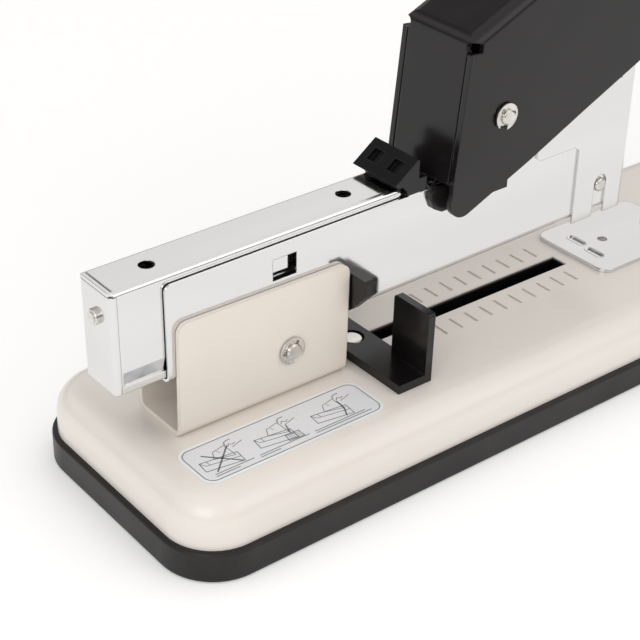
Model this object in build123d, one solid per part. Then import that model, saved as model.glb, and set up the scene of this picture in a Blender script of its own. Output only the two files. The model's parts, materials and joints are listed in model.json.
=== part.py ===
from build123d import *
import math
import os

os.makedirs("parts", exist_ok=True)

# ---------------------------------------------------------------------------
# Heavy-duty lever stapler with a cream base, a chrome magazine frame hinged in
# a cream U-bracket, a sliding depth guide and a black folded-steel handle.
# Millimetres.  +X runs from the hinge towards the anvil, +Z is up, and the
# origin is the centre of the flat underside.
# ---------------------------------------------------------------------------

# ---- driving dimensions ---------------------------------------------------
BASE_L = 272.0            # base length over the skirt
BASE_W = 85.4             # base width over the skirt
BASE_H = 24.9             # deck height
BASE_R = 17.0             # plan corner radius of the skirt
SKIRT_H = 9.7             # height of the black skirt
BODY_IN = 1.7             # cream body set in from the skirt
DECK_FILLET = 9.0         # soft edge round the deck
DECK_T = 3.2              # deck thickness
WALL_T = 3.0

STAPLE_X = 48.7           # staple line
SLOT_X0, SLOT_X1 = -62.0, 36.8
SLOT_W = 6.2
TICK_X0 = -24.0           # first graduation
TICK_PITCH = 6.25
TICK_N = 10

TILT = 1.11               # rest angle of the frame, nose up
PIV_X, PIV_Z = -81.8, 39.7      # frame hinge pin
PIN_R = 2.5

MAG_HALF = 7.5            # magazine half width
MAG_T = 0.8
CH_IN = 7.9               # frame channel inner half width
CH_OUT = 8.6              # frame channel outer half width
BR_IN, BR_OUT = 8.7, 10.2       # hinge bracket cheeks
SHELL_OUT = 9.3           # head shell outer half width

HP_X, HP_Z = -9.3, 91.9         # handle pin, in the level frame of the magazine
HANDLE_HALF = 14.3
HANDLE_T = 1.9
HANDLE_ANG = 24.6         # handle slope at rest, above the horizontal
DRIVE_R = 52.3            # driver pin from the handle pin
DRIVE_A = 22.5            # its angle at rest in the level frame
DRIVE_PIN_R = 2.0
HANDLE_TRAVEL = 24.5
STROKE = DRIVE_R * (math.sin(math.radians(DRIVE_A)) + math.sin(math.radians(HANDLE_TRAVEL - DRIVE_A)))


# ---- helpers --------------------------------------------------------------
def box(x0, x1, y0, y1, z0, z1):
    return Pos((x0 + x1) / 2, (y0 + y1) / 2, (z0 + z1) / 2) * Box(x1 - x0, y1 - y0, z1 - z0)


def cyl_z(x, y, r, z0, z1):
    return Pos(x, y, (z0 + z1) / 2) * Cylinder(r, z1 - z0)


def cyl_y(x, z, r, y0, y1):
    return Pos(x, (y0 + y1) / 2, z) * Rot(90, 0, 0) * Cylinder(r, y1 - y0)


def cyl_x(y, z, r, x0, x1):
    return Pos((x0 + x1) / 2, y, z) * Rot(0, 90, 0) * Cylinder(r, x1 - x0)


def prism_y(pts, y0, y1):
    face = make_face(Polyline(*[(p[0], y0, p[1]) for p in pts], close=True))
    return extrude(face, amount=y1 - y0, dir=(0, 1, 0))


def prism_z(pts, z0, z1):
    face = make_face(Polyline(*[(p[0], p[1], z0) for p in pts], close=True))
    return extrude(face, amount=z1 - z0, dir=(0, 0, 1))


def long_edges(s, axis, z=None, y=None, tol=0.05):
    out = []
    for e in s.edges().filter_by(axis):
        c = e.center()
        if z is not None and abs(c.Z - z) > tol:
            continue
        if y is not None and abs(abs(c.Y) - y) > tol:
            continue
        out.append(e)
    return out


PIVOT = Axis((PIV_X, 0, PIV_Z), (0, 1, 0))


def tilt(s):
    return s.rotate(PIVOT, -TILT)


def save(shape, name):
    if isinstance(shape, (list, tuple)):
        shape = Compound(children=list(shape))
    export_step(shape, f"parts/{name}.step")


def solids(s):
    return list(s.solids())


# ===========================================================================
# BASE
# ===========================================================================
def rounded_slab(length, width, r, z0, z1):
    s = box(-length / 2, length / 2, -width / 2, width / 2, z0, z1)
    return fillet(s.edges().filter_by(Axis.Z), r)


body = rounded_slab(BASE_L - 2 * BODY_IN, BASE_W - 2 * BODY_IN, BASE_R - BODY_IN, 2.6, BASE_H)
top_edges = [e for e in body.edges() if abs(e.center().Z - BASE_H) < 0.01 and
             abs(e.bounding_box().min.Z - BASE_H) < 0.01]
body = fillet(top_edges, DECK_FILLET)
hollow = rounded_slab(BASE_L - 2 * BODY_IN - 2 * WALL_T, BASE_W - 2 * BODY_IN - 2 * WALL_T,
                      BASE_R - BODY_IN - WALL_T, 2.6, BASE_H - DECK_T)
hollow = fillet([e for e in hollow.edges() if abs(e.center().Z - (BASE_H - DECK_T)) < 0.01 and
                 abs(e.bounding_box().min.Z - (BASE_H - DECK_T)) < 0.01], 6.0)
body = body - hollow

# guide slot through the deck, ends rounded
slot = box(SLOT_X0 + SLOT_W / 2, SLOT_X1 - SLOT_W / 2, -SLOT_W / 2, SLOT_W / 2, BASE_H - 8, BASE_H + 1)
slot += cyl_z(SLOT_X0 + SLOT_W / 2, 0, SLOT_W / 2, BASE_H - 8, BASE_H + 1)
slot += box(SLOT_X1 - SLOT_W, SLOT_X1, -SLOT_W / 2, SLOT_W / 2, BASE_H - 8, BASE_H + 1)
body -= slot

# screw bosses inside: four for the tray, two for the hinge bracket, one for the anvil
TRAY_SCREWS = [(-112.0, -27.0), (-112.0, 27.0), (112.0, -27.0), (112.0, 27.0)]
BRACKET_SCREWS = [(-104.0, 0.0), (-90.0, 0.0)]
ANVIL_SCREW = (80.0, 0.0)
for (x, y) in TRAY_SCREWS:
    body += cyl_z(x, y, 4.5, 2.6, BASE_H - DECK_T + 0.5)
    body -= cyl_z(x, y, 1.5, 2.0, 15.0)
for (x, y) in BRACKET_SCREWS:
    body += cyl_z(x, y, 4.0, 12.0, BASE_H - DECK_T + 0.5)
    body -= cyl_z(x, y, 1.5, 12.0 - 1, BASE_H + 1)
body += cyl_z(ANVIL_SCREW[0], ANVIL_SCREW[1], 4.0, 12.0, BASE_H - DECK_T + 0.5)
body -= cyl_z(ANVIL_SCREW[0], ANVIL_SCREW[1], 1.5, 11.0, BASE_H + 1)

# shallow seat for the anvil plate
ANV_X0, ANV_X1, ANV_HALF, ANV_Z0, ANV_Z1 = 41.25, 86.0, 15.7, BASE_H - 0.3, BASE_H + 1.3
seat = box(ANV_X0, ANV_X1, -ANV_HALF, ANV_HALF, ANV_Z0, BASE_H + 1)
seat = fillet(seat.edges().filter_by(Axis.Z), 4.0)
body -= seat

# engraved graduations on both sides of the slot
for i in range(TICK_N):
    x = TICK_X0 + i * TICK_PITCH
    for s in (-1, 1):
        body -= box(x - 0.45, x + 0.45, min(s * 6.1, s * 12.2), max(s * 6.1, s * 12.2), BASE_H - 0.3, BASE_H + 1)
save(body, "base_body")

# black skirt moulded as a tray: floor, wall and the narrow ledge round the body
skirt = rounded_slab(BASE_L, BASE_W, BASE_R, 0.0, SKIRT_H)
skirt = fillet([e for e in skirt.edges() if abs(e.bounding_box().min.Z - SKIRT_H) < 0.01 and
                abs(e.bounding_box().max.Z - SKIRT_H) < 0.01], 0.9)
skirt = fillet([e for e in skirt.edges() if abs(e.bounding_box().min.Z) < 0.01 and
                abs(e.bounding_box().max.Z) < 0.01], 1.2)
skirt -= rounded_slab(BASE_L - 2 * BODY_IN, BASE_W - 2 * BODY_IN, BASE_R - BODY_IN, 2.6, SKIRT_H + 1)
for (x, y) in TRAY_SCREWS:
    skirt -= cyl_z(x, y, 1.7, -1, 3)
    skirt -= cyl_z(x, y, 3.2, -1, 1.3)
save(skirt, "base_skirt")

# four pan screws up through the tray
tray_screws = []
for (x, y) in TRAY_SCREWS:
    s = cyl_z(x, y, 3.0, 0.25, 1.3) + cyl_z(x, y, 1.5, 1.3, 14.0)
    s -= box(x - 1.9, x + 1.9, y - 0.35, y + 0.35, 0.0, 0.75)
    s -= box(x - 0.35, x + 0.35, y - 1.9, y + 1.9, 0.0, 0.75)
    tray_screws.append(s)
save(tray_screws, "tray_screws")

# instruction label on the near side of the deck
lab = box(-124.7, -63.5, -31.8, -14.5, BASE_H, BASE_H + 0.15)
lab = fillet(lab.edges().filter_by(Axis.Z), 4.0)
save(lab, "instruction_label")

# black track channel under the deck that the guide's nut slides in
TR_X0, TR_X1 = -64.4, 39.4
track = box(TR_X0, TR_X1, -8.4, 8.4, 12.0, BASE_H - DECK_T)
track -= box(TR_X0 + 1.4, TR_X1 - 1.4, -7.0, 7.0, 13.4, BASE_H)
# upstanding lip that lines the slot
LIP_T, LIP_Z1 = 0.7, BASE_H - 0.45
lip = box(SLOT_X0 + SLOT_W / 2, SLOT_X1, -SLOT_W / 2, SLOT_W / 2, BASE_H - DECK_T - 1.0, LIP_Z1)
lip += cyl_z(SLOT_X0 + SLOT_W / 2, 0, SLOT_W / 2, BASE_H - DECK_T - 1.0, LIP_Z1)
rim = box(TR_X0, TR_X1, -8.4, 8.4, BASE_H - DECK_T - 1.0, BASE_H - DECK_T)
track += lip + rim
inner_w = SLOT_W / 2 - LIP_T
track -= box(SLOT_X0 + SLOT_W / 2, SLOT_X1 - LIP_T, -inner_w, inner_w, 13.4, BASE_H + 1)
track -= cyl_z(SLOT_X0 + SLOT_W / 2, 0, inner_w, 13.4, BASE_H + 1)
save(track, "slot_track")

# hinge bracket: folded U of painted steel
BR_X0, BR_X1, BR_H, BR_T = -118.8, -61.7, 35.8, BR_OUT - BR_IN
br = box(BR_X0, BR_X1, -BR_OUT, BR_OUT, BASE_H, BASE_H + BR_H)
br = fillet(long_edges(br, Axis.X, z=BASE_H), 3.0)
inner = box(BR_X0 - 1, BR_X1 + 1, -BR_IN, BR_IN, BASE_H + BR_T, BASE_H + BR_H + 1)
inner = fillet(long_edges(inner, Axis.X, z=BASE_H + BR_T), 1.6)
br -= inner
ycorner = [e for e in br.edges().filter_by(Axis.Y) if abs(e.center().Z - (BASE_H + BR_H)) < 0.1]
br = fillet(ycorner, 3.2)
for s in (-1, 1):
    y0, y1 = (s * BR_OUT - 1, s * BR_IN + 0.01) if s < 0 else (s * BR_IN - 0.01, s * BR_OUT + 1)
    br -= prism_y([(-67.0, BASE_H - 1), (BR_X1 + 1, BASE_H - 1), (BR_X1 + 1, BASE_H + 1.2), (BR_X1 - 0.6, BASE_H + 1.2), (-67.0, BASE_H - 0.2)], y0, y1)
br -= cyl_y(PIV_X, PIV_Z, PIN_R, -12, 12)
for (x, y) in BRACKET_SCREWS:
    br -= cyl_z(x, y, 1.7, BASE_H - 1, BASE_H + BR_T + 1)
save(br, "pivot_bracket")

bscrews = []
for (x, y) in BRACKET_SCREWS:
    h = cyl_z(x, y, 3.0, BASE_H + BR_T, BASE_H + BR_T + 1.7)
    h = fillet([e for e in h.edges().filter_by(GeomType.CIRCLE) if e.center().Z > BASE_H + BR_T + 1.6], 0.9)
    h += cyl_z(x, y, 1.5, 14.0, BASE_H + BR_T + 0.1)
    h -= box(x - 1.8, x + 1.8, y - 0.35, y + 0.35, BASE_H + BR_T + 0.9, BASE_H + BR_T + 3)
    h -= box(x - 0.35, x + 0.35, y - 1.8, y + 1.8, BASE_H + BR_T + 0.9, BASE_H + BR_T + 3)
    bscrews.append(h)
save(bscrews, "bracket_screws")

# hinge pin and its two retaining clips
pp = cyl_y(PIV_X, PIV_Z, PIN_R, -12.0, 12.0)
pp = chamfer([e for e in pp.edges().filter_by(GeomType.CIRCLE)], 0.4)
for s in (-1, 1):
    ring = cyl_y(PIV_X, PIV_Z, 4, min(s * 10.4, s * 11.1), max(s * 10.4, s * 11.1)) - \
        cyl_y(PIV_X, PIV_Z, 1.9, min(s * 10.3, s * 11.2), max(s * 10.3, s * 11.2))
    pp -= ring
save(pp, "pivot_pin")


def e_clip(x, z, y0, y1, r_pin_groove, r_out, ang):
    c = cyl_y(x, z, r_out, y0, y1)
    c -= cyl_y(x, z, r_pin_groove, y0 - 1, y1 + 1)
    gap = box(x, x + r_out + 1, y0 - 1, y1 + 1, z - r_pin_groove * 0.82, z + r_pin_groove * 0.82)
    gap = gap.rotate(Axis((x, 0, z), (0, 1, 0)), ang)
    c -= gap
    for a in (120, 240):
        px = x + (r_pin_groove + 0.75) * math.cos(math.radians(a))
        pz = z + (r_pin_groove + 0.75) * math.sin(math.radians(a))
        rel = cyl_y(px, pz, 0.7, y0 - 1, y1 + 1)
        rel = rel.rotate(Axis((x, 0, z), (0, 1, 0)), ang)
        c -= rel
    return c


clips = [e_clip(PIV_X, PIV_Z, -11.05, -10.45, 1.95, 4.1, 60), e_clip(PIV_X, PIV_Z, 10.45, 11.05, 1.95, 4.1, 60)]
save(clips, "pivot_clips")

# anvil plate with two clinch grooves and a locating hole
anv = box(ANV_X0, ANV_X1, -ANV_HALF, ANV_HALF, ANV_Z0, ANV_Z1)
anv = fillet(anv.edges().filter_by(Axis.Z), 4.0)
anv = fillet([e for e in anv.edges() if abs(e.bounding_box().min.Z - ANV_Z1) < 0.01], 0.25)
for s in (-1, 1):
    cx, cy = STAPLE_X + s * 0.6, s * 4.6
    g = Pos(cx, cy, ANV_Z1 + 1.35) * Rot(90, 0, 0) * Cylinder(2.15, 4.6)
    g += Pos(cx, cy - 2.3, ANV_Z1 + 1.35) * Sphere(2.15)
    g += Pos(cx, cy + 2.3, ANV_Z1 + 1.35) * Sphere(2.15)
    anv -= g
anv -= cyl_z(57.3, 0.4, 1.6, ANV_Z0 - 1, ANV_Z1 + 1)
anv -= cyl_z(ANVIL_SCREW[0], 0, 1.7, ANV_Z0 - 1, ANV_Z1 + 1)
save(anv, "anvil_plate")
asc = cyl_z(ANVIL_SCREW[0], 0, 3.0, ANV_Z1, ANV_Z1 + 1.5)
asc = fillet([e for e in asc.edges().filter_by(GeomType.CIRCLE) if e.center().Z > ANV_Z1 + 1.4], 0.8)
asc += cyl_z(ANVIL_SCREW[0], 0, 1.5, 13.0, ANV_Z1 + 0.1)
asc -= box(ANVIL_SCREW[0] - 1.8, ANVIL_SCREW[0] + 1.8, -0.35, 0.35, ANV_Z1 + 0.8, ANV_Z1 + 3)
asc -= box(ANVIL_SCREW[0] - 0.35, ANVIL_SCREW[0] + 0.35, -1.8, 1.8, ANV_Z1 + 0.8, ANV_Z1 + 3)
save(asc, "anvil_screw")

# lift spring between the bracket floor and the frame channel
LS_X, LS_Z0, LS_Z1 = -70.0, BASE_H + BR_T, 43.3
save(cyl_z(LS_X, 0, 4.0, LS_Z0, LS_Z1) - cyl_z(LS_X, 0, 2.9, LS_Z0 - 1, LS_Z1 + 1), "lift_spring")

# ===========================================================================
# DEPTH GUIDE
# ===========================================================================
GX0, GX1, GY = -57.3, -45.1, 28.4
guide = box(GX0, GX1, -GY, GY, BASE_H + 0.05, BASE_H + 2.8)
for s in (-1, 1):
    ya, yb = sorted((s * 13.6, s * GY))
    wall = box(GX1 - 2.5, GX1, ya, yb, BASE_H + 0.05, BASE_H + 22.6)
    guide += wall
guide = fillet([e for e in guide.edges().filter_by(Axis.X) if e.center().Z > BASE_H + 22], 1.0)
guide += box(-55.6, -46.8, -2.3, 2.3, BASE_H - DECK_T - 0.95, BASE_H + 0.2)
guide -= cyl_z(-51.2, 0, 1.6, BASE_H - 5, BASE_H + 5)
guide -= cyl_z(-51.2, 0, 3.7, BASE_H + 1.2, BASE_H + 5)
save(guide, "depth_guide")

gs = cyl_z(-51.2, 0, 3.3, BASE_H + 1.2, BASE_H + 2.5)
gs = fillet([e for e in gs.edges().filter_by(GeomType.CIRCLE) if e.center().Z > BASE_H + 2.4], 0.6)
gs += cyl_z(-51.2, 0, 1.5, 14.4, BASE_H + 1.3)
save(gs, "guide_screw")

NUT_Z1 = BASE_H - DECK_T - 1.1
nut = box(-58.2, -44.2, -6.0, 6.0, NUT_Z1 - 3.0, NUT_Z1)
nut = fillet(nut.edges().filter_by(Axis.Z), 1.5)
nut += cyl_z(-51.2, 0, 3.0, NUT_Z1 - 5.9, NUT_Z1 - 2.9)
nut -= cyl_z(-51.2, 0, 1.5, 10, BASE_H)
save(nut, "guide_nut")

# ===========================================================================
# MAGAZINE FRAME (modelled level, then tilted about the hinge pin)
# ===========================================================================
FX0, FX1 = -121.0, 49.6            # channel ends
FZ0, FZ1 = 43.4, 73.3              # channel bottom and top
ch = box(FX0, FX1, -CH_OUT, CH_OUT, FZ0, FZ1)
ch = fillet(long_edges(ch, Axis.X, z=FZ0), 2.2)
chi = box(FX0 - 1, FX1 + 1, -CH_IN, CH_IN, FZ0 + 0.9, FZ1 + 1)
chi = fillet(long_edges(chi, Axis.X, z=FZ0 + 0.9), 1.4)
ch -= chi
rear_corner = [e for e in ch.edges().filter_by(Axis.Y) if abs(e.center().Z - FZ1) < 0.1 and e.center().X < FX0 + 0.1]
ch = fillet(rear_corner, 2.0)
# staple exit: the floor stops short of the front
ch -= box(STAPLE_X - 1.2, FX1 + 1, -CH_IN, CH_IN, FZ0 - 1, FZ0 + 1.5)
# hinge ears under the channel
for s in (-1, 1):
    y0, y1 = sorted((s * CH_IN, s * CH_OUT))
    ear = prism_y([(PIV_X - 7.5, FZ0 + 3), (PIV_X - 5.2, PIV_Z), (PIV_X + 5.2, PIV_Z), (PIV_X + 7.5, FZ0 + 3)], y0, y1)
    ear += cyl_y(PIV_X, PIV_Z, 5.2, y0, y1)
    ch += ear
ch -= cyl_y(PIV_X, PIV_Z, PIN_R + 0.06, -12, 12)
# staple-level window, near side
ch -= box(-86.8, -78.8, -CH_OUT - 1, -CH_IN + 0.5, 62.6, 69.2)
# latch ears
LP_X, LP_Z = -37.0, 76.2
for s in (-1, 1):
    y0, y1 = sorted((s * CH_IN, s * CH_OUT))
    ear = box(LP_X - 2.2, LP_X + 2.2, y0, y1, FZ1 - 2, LP_Z) + cyl_y(LP_X, LP_Z, 2.2, y0, y1)
    ch += ear
ch -= cyl_y(LP_X, LP_Z, 1.0, -12, 12)
# rivet holes for the handle cheeks, head shell and paper stops
CHEEK_RIVETS = [(-19.0, 69.6), (-6.5, 69.6)]
for (x, z) in CHEEK_RIVETS:
    ch -= cyl_y(x, z, 1.3, -12, 12)
HEAD_STUD = (41.0, 52.6)
ch -= cyl_y(HEAD_STUD[0], HEAD_STUD[1], 1.5, -12, 12)
WING_X0, WING_X1 = -60.9, -57.5
WING_PEG = (-59.2, 53.6)
ch -= cyl_y(WING_PEG[0], WING_PEG[1], 1.2, -12, 12)
save(tilt(ch), "magazine_frame")

# paper stop wings, one each side just ahead of the bracket
wings = []
WING_OUT, WING_TOP = 16.9, 56.7
for s in (-1, 1):
    w = extrude(make_face(Polyline((WING_X0, s * CH_OUT, 43.6), (WING_X0, s * 10.1, 44.8), (WING_X0, s * WING_OUT, 52.2),
                                   (WING_X0, s * WING_OUT, WING_TOP), (WING_X0, s * CH_OUT, WING_TOP), close=True)),
                amount=WING_X1 - WING_X0, dir=(1, 0, 0))
    w = fillet([e for e in w.edges().filter_by(Axis.X) if e.center().Z > WING_TOP - 0.1 and abs(e.center().Y) > 16], 0.8)
    ya, yb = sorted((s * CH_IN, s * (CH_OUT + 0.5)))
    w += cyl_y(WING_PEG[0], WING_PEG[1], 1.2, ya, yb)
    wings.append(w)
save([tilt(w) for w in wings], "paper_stop_wings")

# handle cheeks: two black plates riveted to the channel
CK = [(-31.8, 72.4), (-31.8, 70.0), (-30.5, 67.0), (-27.5, 65.3), (-1.6, 65.3), (-1.6, 76.5),
      (HP_X + 11, 82.0), (HP_X + 11, HP_Z)]
for a in range(15, 180, 15):
    CK.append((HP_X + 11 * math.cos(math.radians(a)), HP_Z + 11 * math.sin(math.radians(a))))
CK += [(HP_X - 11, HP_Z), (-21.6, 83.0), (-23.2, 73.2), (-31.0, 73.0)]
cheeks = []
for s in (-1, 1):
    y0, y1 = sorted((s * CH_OUT, s * 10.0))
    c = prism_y(CK, y0, y1)
    c -= cyl_y(HP_X, HP_Z, 3.0, -15, 15)
    for (x, z) in CHEEK_RIVETS:
        c -= cyl_y(x, z, 1.3, -15, 15)
    cheeks.append(c)
save([tilt(c) for c in cheeks], "handle_cheeks")

rivs = []
for s in (-1, 1):
    for (x, z) in CHEEK_RIVETS:
        ya, yb = sorted((s * CH_IN, s * 10.05))
        r = cyl_y(x, z, 1.3, ya, yb)
        ya, yb = sorted((s * 10.0, s * 10.7))
        hd = cyl_y(x, z, 2.3, ya, yb)
        hd = fillet([e for e in hd.edges().filter_by(GeomType.CIRCLE) if abs(abs(e.center().Y) - 10.7) < 0.01], 0.5)
        rivs.append(tilt(r + hd))
save(rivs, "cheek_rivets")

# head shell: chrome wrap with tall tower, rear extension under the handle
HX0, HX1 = 29.6, 52.5
HZ0, HZ1 = 42.3, 107.0
side = [(HX0, HZ0), (HX1, HZ0), (HX1, HZ1), (HX0 + 2, HZ1), (HX0 + 2, 96.0), (11.2, 88.0), (11.2, 70.2),
        (12.6, 69.2), (27.6, 69.2), (HX0, 67.6)]
sh = prism_y(side, -SHELL_OUT, SHELL_OUT)
sh = fillet([e for e in sh.edges().filter_by(Axis.Z) if e.center().X > HX1 - 0.1], 2.2)
shi = box(0, HX1 - 0.8, -CH_OUT, CH_OUT, HZ0 - 1, HZ1 + 1)
shi = fillet([e for e in shi.edges().filter_by(Axis.Z) if e.center().X > HX1 - 1], 1.4)
sh -= shi
# open-bottomed notch round the locating stud
sh -= box(38.3, 43.7, -12, 12, HZ0 - 1, 53.4) + cyl_y(41.0, 53.4, 2.7, -12, 12)
# notches for the driver pin, open at the top
sh -= box(36.4, 45.6, -12, 12, 87.8, HZ1 + 1)
# clearance for the paper: nothing below the front lip
save(tilt(sh), "head_shell")

studs = []
for s in (-1, 1):
    ya, yb = sorted((s * CH_IN, s * 9.9))
    st = cyl_y(HEAD_STUD[0], HEAD_STUD[1], 1.5, ya, yb)
    ya, yb = sorted((s * CH_OUT, s * 9.9))
    hd = cyl_y(HEAD_STUD[0], HEAD_STUD[1], 2.3, ya, yb)
    hd = fillet([e for e in hd.edges().filter_by(GeomType.CIRCLE) if abs(abs(e.center().Y) - 9.9) < 0.01], 0.9)
    studs.append(tilt(st + hd))
save(studs, "head_studs")

# hardened front plate behind the shell's nose, guiding the blade
fp = box(49.65, 51.6, -7.3, 7.3, 42.9, 100.0)
fp = chamfer([e for e in fp.edges().filter_by(Axis.Y) if e.center().Z > 99], 0.6)
save(tilt(fp), "blade_guide_plate")

# handle pin, clips and spacers
hp = cyl_y(HP_X, HP_Z, 3.0, -14.5, 14.5) + cyl_y(HP_X, HP_Z, 2.3, -16.4, 16.4)
hp = chamfer([e for e in hp.edges().filter_by(GeomType.CIRCLE) if abs(abs(e.center().Y) - 16.4) < 0.01], 0.5)
for s in (-1, 1):
    a, b = sorted((s * 14.7, s * 15.4))
    hp -= cyl_y(HP_X, HP_Z, 5, a, b) - cyl_y(HP_X, HP_Z, 1.8, a - 0.1, b + 0.1)
save(tilt(hp), "handle_pin")
hclips = [tilt(e_clip(HP_X, HP_Z, -15.35, -14.75, 1.85, 4.0, 110)), tilt(e_clip(HP_X, HP_Z, 14.75, 15.35, 1.85, 4.0, 110))]
save(hclips, "handle_clips")
spc = []
for s in (-1, 1):
    a, b = sorted((s * 10.05, s * 12.3))
    spc.append(tilt(cyl_y(HP_X, HP_Z, 5.5, a, b) - cyl_y(HP_X, HP_Z, 3.0, a - 1, b + 1)))
save(spc, "pin_spacers")

# return spring round the handle pin
save(tilt(cyl_y(HP_X, HP_Z, 6.0, -6.6, 6.6) - cyl_y(HP_X, HP_Z, 4.4, -8, 8)), "handle_spring")

# ---- release latch --------------------------------------------------------
LAT = [(-45.0, 78.3), (-43.6, 77.2), (-41.2, 77.2), (-40.2, 74.0), (-33.4, 74.0), (-33.2, 78.2), (-36.2, 78.4), (-36.2, 83.9),
       (-36.8, 84.2)]
lat = prism_y(LAT, -9.3, 9.3)
# two square pockets in the slanted face
sl_len = math.hypot(45.0 - 36.8, 84.2 - 78.3)
sl_ang = math.degrees(math.atan2(84.2 - 78.3, 45.0 - 36.8))
for s in (-1, 1):
    pk = Box(4.2, 4.6, 3.0)
    pk = Pos(-40.6, s * 4.3, 81.3) * Rot(0, -sl_ang, 0) * pk
    lat -= pk
# slots for the ears, notch for the spring, bore for the pin
for s in (-1, 1):
    a, b = sorted((s * 7.75, s * 8.75))
    lat -= box(LP_X - 3.3, LP_X + 3.3, a, b, 70, LP_Z + 2.8)
lat -= box(LP_X - 3.2, LP_X + 3.2, -2.8, 2.8, 70, LP_Z + 2.4)
lat -= cyl_y(LP_X, LP_Z, 1.05, -8.0, 8.0)
save(tilt(lat), "release_latch")
save(tilt(cyl_y(LP_X, LP_Z, 1.0, -8.5, 8.5)), "latch_pin")
save(tilt(cyl_y(LP_X, LP_Z, 2.0, -2.5, 2.5) - cyl_y(LP_X, LP_Z, 1.3, -4, 4)), "latch_spring")

# ===========================================================================
# MAGAZINE (slides out to the rear)
# ===========================================================================
MX0, MX1 = -136.4, -41.2
MZ0, MZ1 = 45.3, 75.9
CAP_X1, CAP_Z1 = -134.4, 74.55
mg = box(MX0, MX1, -MAG_HALF, MAG_HALF, MZ0, MZ1)
mg = fillet(long_edges(mg, Axis.X, z=MZ1), 1.6)
mgi = box(MX0 + MAG_T, MX1 + 1, -MAG_HALF + MAG_T, MAG_HALF - MAG_T, MZ0 - 1, MZ1 - MAG_T)
mgi = fillet(long_edges(mgi, Axis.X, z=MZ1 - MAG_T), 0.8)
mg -= mgi
mg -= box(MX0 - 1, CAP_X1 + 0.05, -9, 9, MZ0 - 1, CAP_Z1 + 0.2)
for hx in (-120.7, -56.0):
    mg -= cyl_z(hx, 0, 2.2, 70, 80)
# folded seam across the rear of the top, and a relief notch in each corner
mg -= box(MX0 + 1.15, MX0 + 1.55, -6.1, 6.1, MZ1 - 0.6, MZ1 + 1)
for s in (-1, 1):
    mg -= cyl_z(MX0 + 0.2, s * 7.4, 1.0, MZ1 - 3, MZ1 + 1)
    # long pressed recess near the lower edge
    a, b = sorted((s * (MAG_HALF - 0.35), s * (MAG_HALF + 1)))
    press = make_face(Polyline((CAP_X1 + 0.6, s * MAG_HALF, 51.6), (CAP_X1 + 0.6, s * (MAG_HALF + 0.3), 51.6),
                               (CAP_X1 + 0.6, s * (MAG_HALF + 0.3), 47.5), (CAP_X1 + 0.6, s * (MAG_HALF - 0.55), 47.5), close=True))
    mg -= extrude(press, amount=MX1 - 3 - CAP_X1 - 0.6, dir=(1, 0, 0))
# cut-out behind the level window on the near wall
mg -= box(-91.0, -76.5, -MAG_HALF - 1, -MAG_HALF + MAG_T + 0.5, 58.5, 64.5)
mg -= box(-81.0, -76.5, -MAG_HALF - 1, -MAG_HALF + MAG_T + 0.5, 58.5, 70.5)
save(tilt(mg), "magazine_cover")

# rear cap wrapped round into the side walls
cap = box(MX0, CAP_X1, -MAG_HALF, MAG_HALF, MZ0, CAP_Z1)
cap = fillet([e for e in cap.edges().filter_by(Axis.Z) if e.center().X < MX0 + 0.1], 1.5)
capi = box(MX0 + MAG_T, CAP_X1 + 1, -MAG_HALF + MAG_T, MAG_HALF - MAG_T, MZ0 - 1, CAP_Z1 + 1)
capi = fillet([e for e in capi.edges().filter_by(Axis.Z) if e.center().X < MX0 + MAG_T + 0.1], 0.7)
cap -= capi
ROD_Z = 66.4
cap -= cyl_x(0, ROD_Z, 1.5, -140, -130)
save(tilt(cap), "magazine_rear_cap")

# staple rail: inverted U with a folded tab that carries the front of the rod
RAIL_TOP = 62.1
rl = box(-135.6, 47.2, -5.4, 5.4, MZ0, RAIL_TOP)
rl = fillet(long_edges(rl, Axis.X, z=RAIL_TOP), 0.6)
rl -= box(-137, 48, -4.6, 4.6, MZ0 - 1, RAIL_TOP - 0.8)
rl += box(34.4, 35.4, -3.2, 3.2, RAIL_TOP - 0.5, ROD_Z + 2.6)
rl -= cyl_x(0, ROD_Z, 1.5, 30, 40)
save(tilt(rl), "staple_rail")
rod = cyl_x(0, ROD_Z, 1.5, -137.9, 35.4)
save(tilt(rod), "follower_rod")
rn = cyl_x(0, ROD_Z, 2.3, -137.7, -136.4)
rn = fillet([e for e in rn.edges().filter_by(GeomType.CIRCLE) if e.center().X < -137.6], 0.5)
rn -= cyl_x(0, ROD_Z, 1.5, -139, -136)
save(tilt(rn), "rod_nut")

# follower (pusher) saddle on the rail, and its spring
fo = box(17.0, 33.0, -6.4, 6.4, 48.0, 69.6)
fo -= box(16, 34, -5.5, 5.5, 47, RAIL_TOP + 0.1)
fo -= cyl_x(0, ROD_Z, 1.58, 0, 40)
for s in (-1, 1):
    a, b = sorted((s * 5.5, s * 6.4))
    fo += box(32.5, 47.0, a, b, 48.0, 62.4)
    a, b = sorted((s * 3.6, s * 6.4))
    fo += box(32.5, 47.0, a, b, RAIL_TOP + 0.1, 64.4)
fo = fillet([e for e in fo.edges().filter_by(Axis.X) if e.center().Z > 69], 0.8)
save(tilt(fo), "staple_follower")
save(tilt(cyl_x(0, ROD_Z, 2.9, -135.4, 16.9) - cyl_x(0, ROD_Z, 2.1, -137, 18)), "follower_spring")

# ===========================================================================
# DRIVER
# ===========================================================================
DPX = HP_X + DRIVE_R * math.cos(math.radians(DRIVE_A))
DPZ = HP_Z + DRIVE_R * math.sin(math.radians(DRIVE_A))
DB_Z0 = 96.5
db = box(34.4, 48.2, -7.4, 7.4, DB_Z0, DB_Z0 + 19.6)
db = fillet(db.edges().filter_by(Axis.Y), 1.2)
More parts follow.
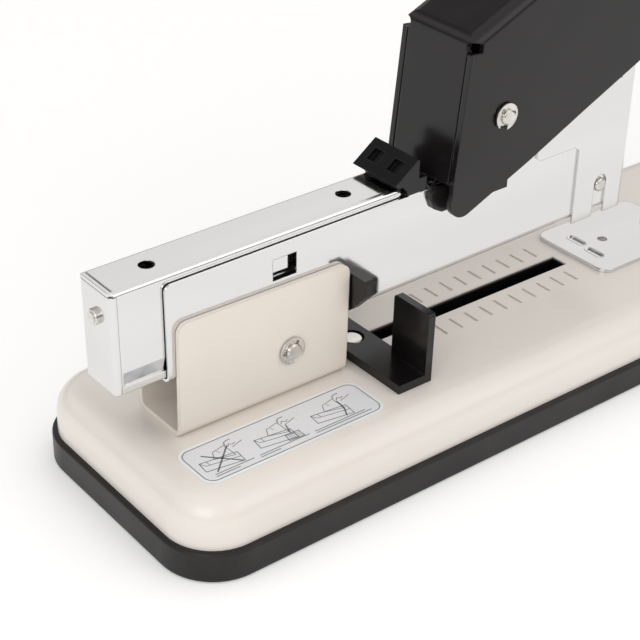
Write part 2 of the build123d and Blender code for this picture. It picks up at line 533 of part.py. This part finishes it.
# horizontal slot that the driver pin works in
sx0, sx1 = DPX, HP_X + DRIVE_R
SLOT_R = DRIVE_PIN_R + 0.3
db -= box(sx0 - 0.1, sx1 + 0.1, -9, 9, DPZ + 0.10 - SLOT_R, DPZ + 0.10 + SLOT_R) + \
    cyl_y(sx0 - 0.1, DPZ + 0.10, SLOT_R, -9, 9) + cyl_y(sx1 + 0.1, DPZ + 0.10, SLOT_R, -9, 9)
RIVET_Z = 100.5
db -= box(44, 49, -3.2, 3.2, RIVET_Z - 2.0, RIVET_Z + 2.0)
save(tilt(db), "driver_block")
blade = box(48.25, 49.25, -6.3, 6.3, 42.8 + STROKE, 115.0)
blade -= cyl_x(0, RIVET_Z, 1.5, 47, 51)
save(tilt(blade), "driver_blade")
brv = cyl_x(0, RIVET_Z, 1.5, 44.6, 49.35)
save(tilt(brv), "blade_rivet")

# ===========================================================================
# HANDLE (u along the handle, v square to it, about the handle pin)
# ===========================================================================
def rest_pt(x, z):
    """Level-frame point carried to the rest pose by the frame's tilt."""
    a = math.radians(TILT)
    dx, dz = x - PIV_X, z - PIV_Z
    return PIV_X + dx * math.cos(a) - dz * math.sin(a), PIV_Z + dx * math.sin(a) + dz * math.cos(a)


HGX, HGZ = rest_pt(HP_X, HP_Z)
V_TOP = 29.0            # top of the web above the handle pin
U_END = 188.0
REAR_TOP, REAR_LOW = (-5.8, 23.1), (-23.1, -7.5)      # straight rear edge of the side plates


def handle_place(s):
    return Pos(HGX, 0, HGZ) * Rot(0, -HANDLE_ANG, 0) * s


ru = math.hypot(REAR_TOP[0] - REAR_LOW[0], REAR_TOP[1] - REAR_LOW[1])
RDU, RDV = (REAR_TOP[0] - REAR_LOW[0]) / ru, (REAR_TOP[1] - REAR_LOW[1]) / ru      # up the rear edge


def rear_pt(v, inset=0.0):
    """Point on the rear edge line at height v, inset into the handle."""
    return REAR_LOW[0] + (v - REAR_LOW[1]) * RDU / RDV + inset / RDV, v


nose = []
for a in range(128, 277, 8):
    nose.append((-21.7 + 5.1 * math.cos(math.radians(a)), -15.3 + 5.1 * math.sin(math.radians(a))))
LOW_EDGE = [(4.0, -20.7), (27.9, -20.1), (53.5, -19.8), (64.0, -19.4), (72.0, -17.8), (80.0, -14.0), (90.0, -8.0), (100.0, -2.4),
            (108.0, 0.8), (116.0, 2.6), (U_END, 4.2)]
prof = [rear_pt(V_TOP), REAR_LOW] + nose + LOW_EDGE + [(U_END, V_TOP)]
hs = prism_y(prof, -HANDLE_HALF, HANDLE_HALF)
hs = fillet([e for e in hs.edges().filter_by(Axis.X) if abs(e.center().Z - V_TOP) < 0.05], 3.8)
# inside of the channel, leaving the top web and the rear flange
inn = prism_y([rear_pt(V_TOP - HANDLE_T, HANDLE_T), rear_pt(-60.0, HANDLE_T), (-10.0, -60.0), (U_END + 1, -60.0),
               (U_END + 1, V_TOP - HANDLE_T)], -(HANDLE_HALF - HANDLE_T), HANDLE_HALF - HANDLE_T)
inn = fillet([e for e in inn.edges().filter_by(Axis.X) if e.center().Z > V_TOP - HANDLE_T - 0.05], 1.9)
hs -= inn
FLANGE_HALF = HANDLE_HALF - HANDLE_T - 0.5
# the flange ends above the noses
FL_V = -8.8
fu, fv = rear_pt(FL_V)
hs -= prism_y([(fu - 12, fv), (fu + 0.8 * HANDLE_T + 1.2, fv - 0.0), (fu + 0.8 * HANDLE_T + 1.2, -40.0), (fu - 12, -40.0)],
              -(HANDLE_HALF - HANDLE_T), HANDLE_HALF - HANDLE_T)
# narrow slits between flange and side plates, ending in a round relief at the corner
for s in (-1, 1):
    a, b = sorted((s * FLANGE_HALF, s * (HANDLE_HALF - HANDLE_T)))
    c0, c1 = rear_pt(-12.0, -3.0), rear_pt(26.6, -3.0)
    d0, d1 = rear_pt(-12.0, 3.2), rear_pt(26.6, 3.2)
    hs -= prism_y([c0, c1, d1, d0], a, b)
    ru0, rv0 = rear_pt(26.6)
    rel = Pos(ru0, s * (FLANGE_HALF + 1.2), rv0) * Rot(0, -math.degrees(math.atan2(-RDU, RDV)), 0) * Rot(0, 90, 0) * Cylinder(1.7, 8.0)
    hs -= rel
# soft fold where the web turns down into the flange
FOLD_R = 4.0
cu, cv = rear_pt(V_TOP)
ft = FOLD_R * math.tan(math.acos(RDU) / 2)
tu, tv = cu - ft * RDU, cv - ft * RDV
fold = prism_y([(cu + ft, cv), (cu + ft, cv + 0.5), (cu - 0.6, cv + 0.5), (tu - 0.5 * RDV, tv + 0.5 * RDU), (tu, tv)], -16, 16)
fold -= cyl_y(cu + ft, cv - FOLD_R, FOLD_R, -17, 17)
hs -= fold
hs -= cyl_y(0, 0, 3.06, -20, 20)
hu = DRIVE_R * math.cos(math.radians(DRIVE_A + TILT - HANDLE_ANG))
hv = DRIVE_R * math.sin(math.radians(DRIVE_A + TILT - HANDLE_ANG))
hs -= cyl_y(hu, hv, DRIVE_PIN_R, -13.5, 13.5)
handle = handle_place(hs)
save(handle, "handle_lever")

# driver pin, its ends captured in blind seats in the handle plates
dp = cyl_y(hu, hv, DRIVE_PIN_R, -13.4, 13.4)
dp = chamfer([e for e in dp.edges().filter_by(GeomType.CIRCLE)], 0.3)
save(handle_place(dp), "driver_pin")

# moulded grip sleeve on the front of the handle
gp = box(114.0, 196.0, -16.8, 16.8, -0.6, 31.6)
gp = fillet(gp.edges().filter_by(Axis.X), 7.5)
gp = fillet([e for e in gp.edges() if abs(e.bounding_box().min.X - 196.0) < 0.02], 5.0)
gp = fillet([e for e in gp.edges() if abs(e.bounding_box().max.X - 114.0) < 0.02], 1.5)
gp -= hs
save(handle_place(gp), "handle_grip")

print("stroke", round(STROKE, 3), "ratio m/rad", round(STROKE / 1000 / math.radians(HANDLE_TRAVEL), 5))
print("handle pin rest", round(HGX, 3), round(HGZ, 3))
print("latch pin rest", [round(v, 3) for v in rest_pt(LP_X, LP_Z)])
print("slide axis", round(math.cos(math.radians(TILT)), 6), round(math.sin(math.radians(TILT)), 6))
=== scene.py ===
import bpy, bmesh, math, json
from mathutils import Vector, Matrix


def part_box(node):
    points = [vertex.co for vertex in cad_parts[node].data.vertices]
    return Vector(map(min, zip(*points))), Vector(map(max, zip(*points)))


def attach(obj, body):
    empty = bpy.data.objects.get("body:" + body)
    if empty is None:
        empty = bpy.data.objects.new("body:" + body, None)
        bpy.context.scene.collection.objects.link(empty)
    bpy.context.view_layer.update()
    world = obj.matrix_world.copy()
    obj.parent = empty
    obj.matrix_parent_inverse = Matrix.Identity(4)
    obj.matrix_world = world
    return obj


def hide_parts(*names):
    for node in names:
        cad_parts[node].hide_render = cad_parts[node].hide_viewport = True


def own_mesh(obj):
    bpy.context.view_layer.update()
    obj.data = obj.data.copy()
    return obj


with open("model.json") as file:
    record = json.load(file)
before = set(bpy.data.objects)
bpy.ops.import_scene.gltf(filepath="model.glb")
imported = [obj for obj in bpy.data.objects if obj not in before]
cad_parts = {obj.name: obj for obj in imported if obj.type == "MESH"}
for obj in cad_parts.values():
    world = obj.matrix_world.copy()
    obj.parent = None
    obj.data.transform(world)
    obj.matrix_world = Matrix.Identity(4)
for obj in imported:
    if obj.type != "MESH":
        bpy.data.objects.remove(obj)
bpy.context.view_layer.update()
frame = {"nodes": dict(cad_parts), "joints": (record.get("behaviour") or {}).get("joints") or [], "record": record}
N = frame["nodes"]
SC = bpy.context.scene
SC.view_settings.view_transform = "Standard"
MM = 0.001

# ---- camera ---------------------------------------------------------------
PITCH, YAW, ROLL = math.radians(31.36), math.radians(50.66), math.radians(1.81)
CAM = Vector((-0.3065, -0.2964, 0.2714))
f = Vector((math.cos(YAW) * math.cos(PITCH), math.sin(YAW) * math.cos(PITCH), -math.sin(PITCH)))
r = Vector((math.sin(YAW), -math.cos(YAW), 0.0))
u = r.cross(f)
c, s = math.cos(ROLL), math.sin(ROLL)
r2 = c * r + s * u
u2 = -s * r + c * u
cam_data = bpy.data.cameras.new("cam")
cam_data.lens = 1560.69 * 36.0 / 640.0
cam_data.sensor_width = 36.0
cam_data.clip_start = 0.02
cam = bpy.data.objects.new("cam", cam_data)
SC.collection.objects.link(cam)
cam.matrix_world = Matrix(((r2.x, u2.x, -f.x, CAM.x), (r2.y, u2.y, -f.y, CAM.y), (r2.z, u2.z, -f.z, CAM.z), (0, 0, 0, 1)))
SC.camera = cam


# ---- materials ------------------------------------------------------------
def material(name, col_a, col_b, rough=(0.3, 0.36), metallic=0.0, coat=0.0, spec=0.5,
             col_scale=30.0, stretch=(1, 1, 1), bump_scale=900.0, bump=0.05, bump_dist=0.00005,
             rough_scale=60.0, coat_rough=0.1, second=None, edge=0.0):
    """Two-tone noise colour, noise-driven roughness and a fine bump; all in object space."""
    m = bpy.data.materials.new(name)
    m.use_nodes = True
    nt = m.node_tree
    nt.nodes.clear()
    out = nt.nodes.new("ShaderNodeOutputMaterial")
    b = nt.nodes.new("ShaderNodeBsdfPrincipled")
    nt.links.new(b.outputs[0], out.inputs[0])
    tc = nt.nodes.new("ShaderNodeTexCoord")
    mp = nt.nodes.new("ShaderNodeMapping")
    mp.inputs["Scale"].default_value = stretch
    nt.links.new(tc.outputs["Object"], mp.inputs["Vector"])

    n1 = nt.nodes.new("ShaderNodeTexNoise")
    n1.inputs["Scale"].default_value = col_scale
    n1.inputs["Detail"].default_value = 4.0
    nt.links.new(mp.outputs[0], n1.inputs["Vector"])
    ramp = nt.nodes.new("ShaderNodeValToRGB")
    ramp.color_ramp.elements[0].position = 0.32
    ramp.color_ramp.elements[1].position = 0.68
    ramp.color_ramp.elements[0].color = (*col_a, 1)
    ramp.color_ramp.elements[1].color = (*col_b, 1)
    nt.links.new(n1.outputs["Fac"], ramp.inputs["Fac"])
    nt.links.new(ramp.outputs["Color"], b.inputs["Base Color"])

    n2 = nt.nodes.new("ShaderNodeTexNoise")
    n2.inputs["Scale"].default_value = rough_scale
    n2.inputs["Detail"].default_value = 3.0
    nt.links.new(mp.outputs[0], n2.inputs["Vector"])
    mr = nt.nodes.new("ShaderNodeMapRange")
    mr.inputs["From Min"].default_value = 0.3
    mr.inputs["From Max"].default_value = 0.7
    mr.inputs["To Min"].default_value = rough[0]
    mr.inputs["To Max"].default_value = rough[1]
    nt.links.new(n2.outputs["Fac"], mr.inputs["Value"])
    nt.links.new(mr.outputs[0], b.inputs["Roughness"])

    n3 = nt.nodes.new("ShaderNodeTexNoise")
    n3.inputs["Scale"].default_value = bump_scale
    n3.inputs["Detail"].default_value = 2.0
    nt.links.new(mp.outputs[0], n3.inputs["Vector"])
    bp = nt.nodes.new("ShaderNodeBump")
    bp.inputs["Strength"].default_value = bump
    bp.inputs["Distance"].default_value = bump_dist
    nt.links.new(n3.outputs["Fac"], bp.inputs["Height"])
    if edge:
        bv = nt.nodes.new("ShaderNodeBevel")
        bv.samples = 6
        bv.inputs["Radius"].default_value = edge
        nt.links.new(bv.outputs[0], bp.inputs["Normal"])
    last = bp
    if second:
        scale, strength, dist = second
        n4 = nt.nodes.new("ShaderNodeTexNoise")
        n4.inputs["Scale"].default_value = scale
        n4.inputs["Detail"].default_value = 1.0
        nt.links.new(tc.outputs["Object"], n4.inputs["Vector"])
        b2 = nt.nodes.new("ShaderNodeBump")
        b2.inputs["Strength"].default_value = strength
        b2.inputs["Distance"].default_value = dist
        nt.links.new(n4.outputs["Fac"], b2.inputs["Height"])
        nt.links.new(bp.outputs[0], b2.inputs["Normal"])
        last = b2
    nt.links.new(last.outputs[0], b.inputs["Normal"])
    b.inputs["Metallic"].default_value = metallic
    b.inputs["Coat Weight"].default_value = coat
    b.inputs["Coat Roughness"].default_value = coat_rough
    b.inputs["Specular IOR Level"].default_value = spec
    return m


M = {}
M["cream"] = material("cream_lacquer", (0.775, 0.718, 0.66), (0.805, 0.748, 0.69), rough=(0.28, 0.36), coat=0.35, coat_rough=0.12,
                      col_scale=14, bump_scale=1400, bump=0.10, second=(220, 0.06, 0.0002), edge=0.0003)
M["cream_steel"] = material("cream_powder_coat", (0.765, 0.695, 0.625), (0.795, 0.725, 0.655), rough=(0.32, 0.40), coat=0.2, coat_rough=0.2,
                            col_scale=35, bump_scale=2200, bump=0.16, second=(500, 0.10, 0.0001), edge=0.0005)
M["skirt"] = material("skirt_rubber", (0.009, 0.0077, 0.0074), (0.014, 0.012, 0.0115), rough=(0.34, 0.44), spec=0.34,
                      col_scale=80, bump_scale=3200, bump=0.25, second=(700, 0.08, 0.0001))
M["chrome"] = material("nickel_chrome", (0.715, 0.712, 0.706), (0.755, 0.752, 0.746), rough=(0.09, 0.15), metallic=1.0,
                       col_scale=50, stretch=(0.12, 1, 1), bump_scale=1500, bump=0.03, rough_scale=220, second=(60, 0.03, 0.0002), edge=0.0004)
M["hard_steel"] = material("ground_steel", (0.42, 0.42, 0.43), (0.52, 0.52, 0.53), rough=(0.24, 0.36), metallic=1.0,
                           col_scale=120, stretch=(1, 1, 0.08), bump_scale=1800, bump=0.12, rough_scale=300, edge=0.0003)
M["black_steel"] = material("black_enamel", (0.0085, 0.0073, 0.0072), (0.0125, 0.0108, 0.0106), rough=(0.19, 0.26), spec=0.34,
                            col_scale=55, bump_scale=2600, bump=0.14, second=(420, 0.10, 0.0001), edge=0.0005)
M["black_plastic"] = material("black_moulding", (0.004, 0.0036, 0.0038), (0.007, 0.006, 0.006), rough=(0.17, 0.26), spec=0.36,
                              col_scale=90, bump_scale=3000, bump=0.14, edge=0.0003)
M["grip"] = material("grip_moulding", (0.008, 0.0075, 0.0075), (0.014, 0.0125, 0.0125), rough=(0.40, 0.52), spec=0.4,
                     col_scale=60, bump_scale=1500, bump=0.5, bump_dist=0.0001)
M["zinc"] = material("zinc_plate", (0.60, 0.58, 0.54), (0.74, 0.72, 0.68), rough=(0.12, 0.22), metallic=1.0,
                     col_scale=300, bump_scale=2500, bump=0.06, rough_scale=500, edge=0.0002)
M["spring_steel"] = material("spring_wire", (0.50, 0.50, 0.51), (0.62, 0.62, 0.63), rough=(0.18, 0.28), metallic=1.0,
                             col_scale=400, bump_scale=3000, bump=0.08, rough_scale=600)
M["label"] = material("label_film", (0.715, 0.722, 0.748), (0.755, 0.762, 0.788), rough=(0.26, 0.34), coat=0.3, coat_rough=0.15,
                      col_scale=25, bump_scale=900, bump=0.04, second=(120, 0.05, 0.0002))
M["label_white"] = material("label_white_ink", (0.78, 0.80, 0.80), (0.84, 0.86, 0.86), rough=(0.30, 0.38), coat=0.3, coat_rough=0.15,
                            col_scale=60, bump_scale=1500, bump=0.03)
M["label_ink"] = material("label_grey_ink", (0.10, 0.12, 0.13), (0.15, 0.17, 0.18), rough=(0.34, 0.44),
                          col_scale=400, bump_scale=2500, bump=0.03)
M["tick_ink"] = material("tick_ink", (0.44, 0.40, 0.36), (0.56, 0.52, 0.47), rough=(0.4, 0.5), col_scale=500, bump_scale=2500, bump=0.1)

SLOT_OF = {row["node"]: row["material_slot"] for row in frame["record"]["subparts"]}
for name, o in N.items():
    o.data.materials.clear()
    o.data.materials.append(M[SLOT_OF[name]])


# ---- helpers for pieces ----------------------------------------------------
def piece(name, verts, faces, mat, body, smooth=False):
    me = bpy.data.meshes.new(name)
    me.from_pydata([tuple(v) for v in verts], [], faces)
    me.validate()
    me.update()
    o = bpy.data.objects.new(name, me)
    SC.collection.objects.link(o)
    me.materials.append(mat)
    if smooth:
        for p in me.polygons:
            p.use_smooth = True
    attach(o, body)
    return o


def tube(path, rad, sides=14, closed=False, taper=0):
    """Round tube along a list of points, parallel-transported, with closed ends."""
    pts = [Vector(p) for p in path]
    n = len(pts)
    verts, faces = [], []
    t0 = (pts[1] - pts[0]).normalized()
    ref = t0.orthogonal().normalized()
    prev = t0
    rings = []
    for i, p in enumerate(pts):
        a = pts[max(i - 1, 0)]
        b = pts[min(i + 1, n - 1)]
        t = (b - a).normalized()
        q = prev.rotation_difference(t)
        ref = q @ ref
        ref = (ref - t * ref.dot(t)).normalized()
        prev = t
        bi = t.cross(ref)
        k = rad
        ring = []
        for j in range(sides):
            th = 2 * math.pi * j / sides
            ring.append(len(verts))
            verts.append(p + (ref * math.cos(th) + bi * math.sin(th)) * k)
        rings.append(ring)
    for i in range(n - 1):
        for j in range(sides):
            k = (j + 1) % sides
            faces.append((rings[i][j], rings[i][k], rings[i + 1][k], rings[i + 1][j]))
    faces.append(tuple(reversed(rings[0])))
    faces.append(tuple(rings[-1]))
    return verts, faces


def ribbon(points, width, z0, z1, closed=False):
    """Raised flat line in a level plane, from z0 up to z1, with mitred corners. Metres."""
    pts = [Vector((p[0], p[1])) for p in points]
    n = len(pts)
    verts, faces = [], []
    for i, p in enumerate(pts):
        if closed:
            a, b = pts[i - 1], pts[(i + 1) % n]
        else:
            a, b = pts[max(i - 1, 0)], pts[min(i + 1, n - 1)]
        d1 = (p - a).normalized() if (p - a).length > 1e-9 else (b - p).normalized()
        d2 = (b - p).normalized() if (b - p).length > 1e-9 else d1
        nrm = Vector((-(d1.y + d2.y), d1.x + d2.x))
        nrm = nrm.normalized() if nrm.length > 1e-6 else Vector((-d1.y, d1.x))
        cosh = max(0.45, abs(nrm.dot(Vector((-d1.y, d1.x)))))
        h = nrm * (width / 2 / cosh)
        for q, z in ((p - h, z0), (p + h, z0), (p + h, z1), (p - h, z1)):
            verts.append((q.x, q.y, z))
    m = n if closed else n - 1
    for i in range(m):
        a, b = 4 * i, 4 * ((i + 1) % n)
        faces += [(a + 3, a + 2, b + 2, b + 3)[::-1], (a + 1, a, b, b + 1)[::-1], (a + 2, a + 1, b + 1, b + 2)[::-1], (a, a + 3, b + 3, b)[::-1]]
    if not closed:
        faces += [(0, 1, 2, 3), (4 * n - 1, 4 * n - 2, 4 * n - 3, 4 * n - 4)]
    return verts, faces


def join(parts):
    verts, faces = [], []
    for v, fc in parts:
        k = len(verts)
        verts += list(v)
        faces += [tuple(i + k for i in q) for q in fc]
    return verts, faces


def helix(start, axis, side, radius, length, turns, per=22, flat=1.0):
    """Points of a coil with closed (flat) end turns."""
    start, axis = Vector(start), Vector(axis).normalized()
    side = (Vector(side) - axis * Vector(side).dot(axis)).normalized()
    up = axis.cross(side)
    pts = []
    n = int(turns * per)
    for i in range(n + 1):
        t = i / n * turns
        e = flat
        if t < e:
            h = 0.0 + 0.5 * t * t / e / 1.0
        elif t > turns - e:
            k = turns - t
            h = (turns - e) - 0.5 * k * k / e
        else:
            h = t - 0.5 * e
        h = h / (turns - e)
        ang = 2 * math.pi * t
        pts.append(start + axis * (length * h) + (side * math.cos(ang) + up * math.sin(ang)) * radius)
    return pts


TILT = math.radians(1.11)
PIV = Vector((-81.8, 0, 39.7))


def lev(x, y, z):
    """Level magazine-frame millimetres to the rest pose, in metres."""
    dx, dz = x - PIV.x, z - PIV.z
    return Vector((PIV.x + dx * math.cos(TILT) - dz * math.sin(TILT), y, PIV.z + dx * math.sin(TILT) + dz * math.cos(TILT))) * MM


# ---- coil springs ----------------------------------------------------------
lo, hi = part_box("lift_spring")
cx, cy = (lo.x + hi.x) / 2, (lo.y + hi.y) / 2
w = 0.0005
v, fc = tube(helix((cx, cy, lo.z + w), (0, 0, 1), (1, 0, 0), 0.0040 - w - 0.00005, hi.z - lo.z - 2 * w, 7.5), w)
sp = piece("lift_spring_coil", v, fc, M["spring_steel"], "base", True)
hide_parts("lift_spring")
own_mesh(sp)

AX = Vector((math.cos(TILT), 0, math.sin(TILT)))
x0, x1 = -135.3, 16.8
w = 0.00034
st = lev(x0, 0, 66.4)
v, fc = tube(helix(st, AX, (0, 0, 1), 0.0025, (x1 - x0) * MM, 54, per=16), w, sides=8)
sp = piece("follower_spring_coil", v, fc, M["spring_steel"], "magazine", True)
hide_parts("follower_spring")
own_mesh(sp)

HPc = Vector(next(j for j in frame["joints"] if j["name"] == "handle_pivot")["pos_m"])
w = 0.00055
pts = helix(HPc + Vector((0, -0.0060, 0)), (0, 1, 0), (-1, 0, 0.3), 0.0052, 0.0120, 9.0, per=20)
v, fc = tube(pts, w, sides=10)
sp = piece("handle_spring_coil", v, fc, M["spring_steel"], "frame", True)
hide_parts("handle_spring")

LPc = Vector(next(j for j in frame["joints"] if j["name"] == "latch_press")["pos_m"])
w = 0.00025
pts = helix(LPc + Vector((0, -0.0022, 0)), (0, 1, 0), (-1, 0, 0.3), 0.00165, 0.0044, 7.0, per=16)
v, fc = tube(pts, w, sides=8)
sp = piece("latch_spring_coil", v, fc, M["spring_steel"], "frame", True)
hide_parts("latch_spring")

# ---- label -----------------------------------------------------------------
lo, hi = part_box("instruction_label")
LX0, LX1, LY0, LY1, LZ = lo.x / MM, hi.x / MM, lo.y / MM, hi.y / MM, hi.z


def rrect(x0, x1, y0, y1, rad, k=8):
    out = []
    for (cx_, cy_, a0) in ((x1 - rad, y1 - rad, 0), (x0 + rad, y1 - rad, 90), (x0 + rad, y0 + rad, 180), (x1 - rad, y0 + rad, 270)):
        for i in range(k + 1):
            a = math.radians(a0 + 90 * i / k)
            out.append(((cx_ + rad * math.cos(a)) * MM, (cy_ + rad * math.sin(a)) * MM))
    return out


Z1 = LZ + 0.00002
parts_ink, parts_white = [], []
parts_white.append(ribbon(rrect(LX0 + 0.45, LX1 - 0.45, LY0 + 0.45, LY1 - 0.45, 3.6), 0.0008, LZ - 0.00002, Z1, True))
parts_ink.append(ribbon(rrect(LX0 + 1.15, LX1 - 1.15, LY0 + 1.15, LY1 - 1.15, 3.0), 0.00028, LZ - 0.00002, Z1, True))


def line(cx_, cy_, pts, wd=0.30, closed=False):
    parts_ink.append(ribbon([((cx_ + p[0]) * MM, (cy_ + p[1]) * MM) for p in pts], wd * MM, LZ - 0.00002, Z1 + 0.00001, closed))


def stapler_sketch(cx_, cy_):
    """Generic lever stapler with a hand on its lever."""
    line(cx_, cy_, [(-5.4, 2.0), (5.9, 0.7), (5.6, -3.6), (-5.8, -1.9)], 0.24, True)
    line(cx_, cy_, [(-5.4, 2.0), (-4.4, 0.2), (5.8, -1.5)], 0.2)
    line(cx_, cy_, [(-3.4, 1.7), (-3.2, 0.0)], 0.18)
    line(cx_, cy_, [(0.4, 4.2), (4.6, 5.1), (4.9, -0.2), (-1.0, 1.4)], 0.2, True)
    line(cx_, cy_, [(1.6, 4.0), (2.0, 3.0)], 0.16)
    line(cx_, cy_, [(4.9, 4.9), (5.2, 6.0), (6.2, 6.5), (7.6, 6.5)], 0.26)
    line(cx_, cy_, [(5.2, 3.9), (6.1, 4.9), (6.9, 4.1), (7.9, 4.6)], 0.22)
    line(cx_, cy_, [(6.1, 3.1), (10.0, 4.3)], 0.2)


GYc = -24.2
GX = [-115.8, -98.0, -78.6]
for gx in GX:
    stapler_sketch(gx, GYc)
line(GX[0], GYc, [(-3.1, 4.6), (5.2, -3.5)], 0.46)
line(GX[0], GYc, [(5.3, 4.6), (-3.3, -3.6)], 0.46)
line(GX[1], GYc, [(6.0, 3.0), (4.9, -0.8)], 0.40)
line(GX[1], GYc, [(2.9, -0.9), (7.3, -1.1), (7.3, -3.9), (2.5, -3.7)], 0.26, True)
for k in range(3):
    line(GX[1], GYc, [(3.1, -1.6 - 0.7 * k), (7.1, -1.8 - 0.7 * k)], 0.16)
line(GX[2], GYc, [(5.0, 3.6), (4.9, 1.6), (4.5, -0.6), (3.1, -3.5)], 0.46)
# plain ruled bars where the printed captions would be
for gx, bars in zip(GX, (((-4.5, 8.0), (-4.7, 2.9)), ((-7.9, 8.7), (-8.1, -1.6)), ((-8.8, 8.8), (-8.8, 10.6)))):
    for k, (ba, bb) in enumerate(bars):
        line(gx, GYc, [(ba, -4.25 - 0.85 * k), (bb, -4.25 - 0.85 * k)], 0.26)
v, fc = join(parts_white)
piece("label_border", v, fc, M["label_white"], "base")
v, fc = join(parts_ink)
piece("label_pictograms", v, fc, M["label_ink"], "base")

# ---- graduation paint ------------------------------------------------------
parts = []
for i in range(10):
    x = -24.0 + 6.25 * i
    for sy in (-1, 1):
        parts.append(ribbon([(x * MM, sy * 6.2 * MM), (x * MM, sy * 12.1 * MM)], 0.00084, 0.0246 - 0.00001, 0.0246 + 0.00008))
v, fc = join(parts)
piece("graduation_paint", v, fc, M["tick_ink"], "base")

# ---- floor and light -------------------------------------------------------
fm = bpy.data.materials.new("floor")
fm.use_nodes = True
nt = fm.node_tree
b = nt.nodes["Principled BSDF"]
b.inputs["Roughness"].default_value = 0.9
b.inputs["Specular IOR Level"].default_value = 0.1
tc = nt.nodes.new("ShaderNodeTexCoord")
nz = nt.nodes.new("ShaderNodeTexNoise")
nz.inputs["Scale"].default_value = 3.0
rp = nt.nodes.new("ShaderNodeValToRGB")
rp.color_ramp.elements[0].color = (0.93, 0.93, 0.93, 1)
rp.color_ramp.elements[1].color = (0.95, 0.95, 0.95, 1)
nt.links.new(tc.outputs["Object"], nz.inputs["Vector"])
nt.links.new(nz.outputs["Fac"], rp.inputs["Fac"])
nt.links.new(rp.outputs["Color"], b.inputs["Base Color"])
b.inputs["Emission Color"].default_value = (1, 1, 1, 1)
b.inputs["Emission Strength"].default_value = 0.17
fl = bpy.data.meshes.new("floor")
fl.from_pydata([(-3, -3, 0), (3, -3, 0), (3, 3, 0), (-3, 3, 0)], [], [(0, 1, 2, 3)])
floor = bpy.data.objects.new("floor", fl)
fl.materials.append(fm)
SC.collection.objects.link(floor)

world = bpy.data.worlds.new("w")
SC.world = world
world.use_nodes = True
wt = world.node_tree
bgn = wt.nodes["Background"]
wtc = wt.nodes.new("ShaderNodeTexCoord")
wsep = wt.nodes.new("ShaderNodeSeparateXYZ")
wr = wt.nodes.new("ShaderNodeValToRGB")
wt.links.new(wtc.outputs["Generated"], wsep.inputs[0])
wt.links.new(wsep.outputs["Z"], wr.inputs["Fac"])
# a dark flag high on the far side of the studio
flag = wt.nodes.new("ShaderNodeVectorMath")
flag.operation = "DOT_PRODUCT"
flag.inputs[1].default_value = (-0.04, 0.661, 0.749)
wt.links.new(wtc.outputs["Generated"], flag.inputs[0])
fr = wt.nodes.new("ShaderNodeMapRange")
fr.interpolation_type = "SMOOTHSTEP"
fr.inputs["From Min"].default_value = 0.88
fr.inputs["From Max"].default_value = 0.965
fr.inputs["To Min"].default_value = 1.0
fr.inputs["To Max"].default_value = 0.26
wt.links.new(flag.outputs["Value"], fr.inputs["Value"])
fm2 = wt.nodes.new("ShaderNodeVectorMath")
fm2.operation = "SCALE"
wt.links.new(wr.outputs["Color"], fm2.inputs[0])
wt.links.new(fr.outputs[0], fm2.inputs["Scale"])
wt.links.new(fm2.outputs[0], bgn.inputs["Color"])
el = wr.color_ramp.elements
el[0].position, el[0].color = 0.03, (0.10, 0.10, 0.10, 1)
el[1].position, el[1].color = 0.34, (1.0, 0.99, 0.98, 1)
e3 = wr.color_ramp.elements.new(0.16)
e3.color = (0.30, 0.295, 0.29, 1)
bgn.inputs["Strength"].default_value = 0.96


def area(name, loc, target, size, power, col=(1, 1, 1)):
    d = bpy.data.lights.new(name, "AREA")
    d.shape = "RECTANGLE"
    d.size, d.size_y = size
    d.energy = power
    d.color = col
    o = bpy.data.objects.new(name, d)
    SC.collection.objects.link(o)
    o.location = loc
    o.rotation_mode = "QUATERNION"
    o.rotation_quaternion = (Vector(target) - Vector(loc)).to_track_quat("-Z", "Y")
    return o


area("key", (-0.75, -0.45, 0.42), (-0.06, 0, 0.03), (0.5, 0.5), 1.6)
area("fill", (0.35, -0.75, 0.55), (0.0, 0, 0.05), (0.6, 0.6), 0.9)
